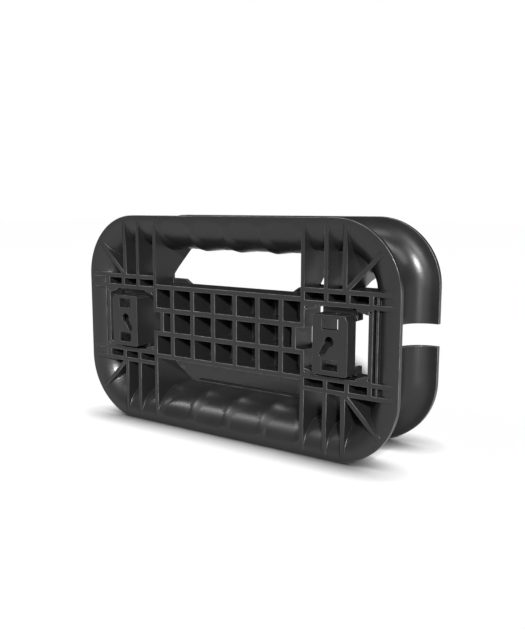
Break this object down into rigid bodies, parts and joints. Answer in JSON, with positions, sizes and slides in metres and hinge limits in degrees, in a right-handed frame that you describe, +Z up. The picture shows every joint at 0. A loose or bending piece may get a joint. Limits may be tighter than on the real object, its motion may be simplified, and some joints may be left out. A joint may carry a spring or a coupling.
{
  "type": "hand reel",
  "caption": "Black plastic hand reel for winding a rope, lead or cable: ribbed frame in a rounded winding rim, finger-grooved handles, clip-in keyhole hanging brackets.",
  "frame": {"origin": "middle of the object's footprint, on the surface that it stands on: half way along its length and half way between the bracket faces and the rear lip", "axes": "+X along the length to the right seen from the front, -Y to the front (the side with the ribs and brackets), +Z up, from the lower handle to the upper handle"},
  "size_m": [0.22, 0.06, 0.13],
  "materials": {
    "frame_plastic": "fine-grained satin black moulded plastic",
    "bracket_plastic": "satin black moulded plastic",
    "screw_steel": "bright zinc-plated steel"
  },
  "bodies": {
    "reel": {"front_frame": "frame_plastic", "rear_rim": "frame_plastic", "upper_left_rim_screw": "screw_steel", "upper_right_rim_screw": "screw_steel", "lower_left_rim_screw": "screw_steel", "lower_right_rim_screw": "screw_steel"},
    "left_hanger": {"left_bracket": "bracket_plastic"},
    "right_hanger": {"right_bracket": "bracket_plastic"}
  },
  "joints": [
    {"name": "left_bracket_clip", "type": "slide", "parent": "reel", "child": "left_hanger", "axis": [0, -1, 0], "range_m": [0, 0.011]},
    {"name": "right_bracket_clip", "type": "slide", "parent": "reel", "child": "right_hanger", "axis": [0, -1, 0], "range_m": [0, 0.011]}
  ]
}
